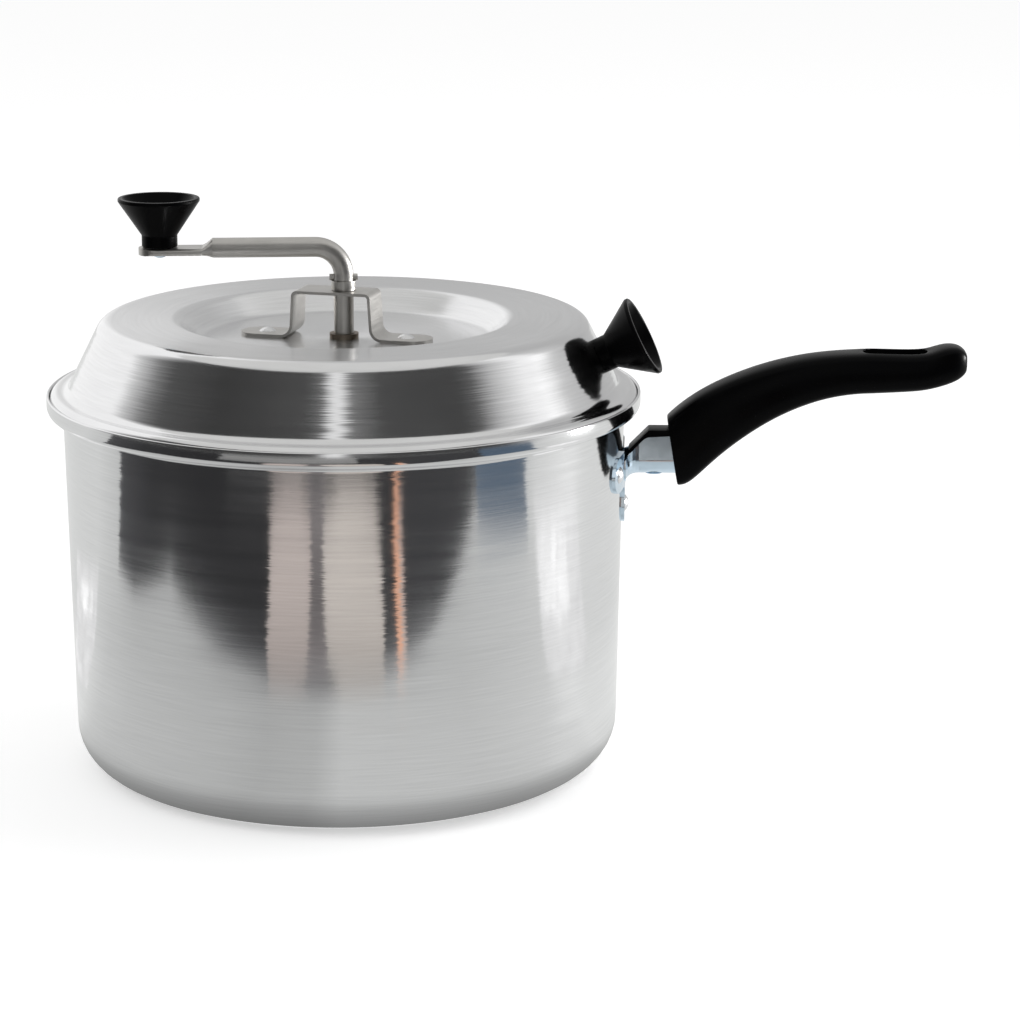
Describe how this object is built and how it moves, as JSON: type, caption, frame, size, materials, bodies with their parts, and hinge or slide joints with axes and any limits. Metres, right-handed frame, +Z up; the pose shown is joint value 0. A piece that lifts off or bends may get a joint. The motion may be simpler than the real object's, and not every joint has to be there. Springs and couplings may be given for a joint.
{
  "type": "stovetop popcorn popper",
  "caption": "Aluminium stovetop popcorn popper: deep pot with a riveted side handle, and a lift-off lid with a hand crank that turns a wire stirrer.",
  "frame": {"origin": "centre of the pot's flat base, on its underside", "axes": "+Z up along the pot's and the crank's axis, +X out along the handle, away from the pot"},
  "size_m": [0.3924, 0.254, 0.2462],
  "materials": {
    "pot_aluminium": "polished with fine level brush marks",
    "lid_aluminium": "polished, satin on top",
    "rivet_aluminium": "plain",
    "plated_steel": "bright zinc plating",
    "bright_steel": "polished",
    "dark_steel": "dull",
    "brass": "turned",
    "phenolic": "glossy black phenolic"
  },
  "bodies": {
    "pot": {"pot_body": "pot_aluminium", "handle_bracket": "plated_steel", "bracket_rivets": "rivet_aluminium", "handle_grip": "phenolic", "handle_screw": "plated_steel"},
    "lid": {"lid_shell": "lid_aluminium", "lid_bush": "dark_steel", "crank_bridge": "bright_steel", "bridge_rivets": "rivet_aluminium", "lid_knob": "phenolic", "lid_knob_insert": "brass", "lid_knob_washer": "plated_steel", "lid_knob_screw": "plated_steel"},
    "crank": {"crank_tube": "bright_steel", "crank_collar": "bright_steel", "crank_cross_pin": "bright_steel", "retaining_washer": "plated_steel", "split_pin": "plated_steel", "knob_rivet": "plated_steel", "knob_washer": "plated_steel", "stirrer_hub": "rivet_aluminium", "stirrer_wires": "bright_steel", "stirrer_pin": "plated_steel"},
    "knob": {"crank_knob": "phenolic"}
  },
  "joints": [
    {"name": "lid_lift", "type": "slide", "parent": "pot", "child": "lid", "axis": [0, 0, 1], "range_m": [0, 0.19]},
    {"name": "crank_turn", "type": "hinge", "parent": "lid", "child": "crank", "pos_m": [0, 0, 0.2], "axis": [0, 0, 1], "continuous": true},
    {"name": "knob_spin", "type": "hinge", "parent": "crank", "child": "knob", "pos_m": [-0.07708, -0.0081, 0.235], "axis": [0, 0, 1], "continuous": true}
  ]
}
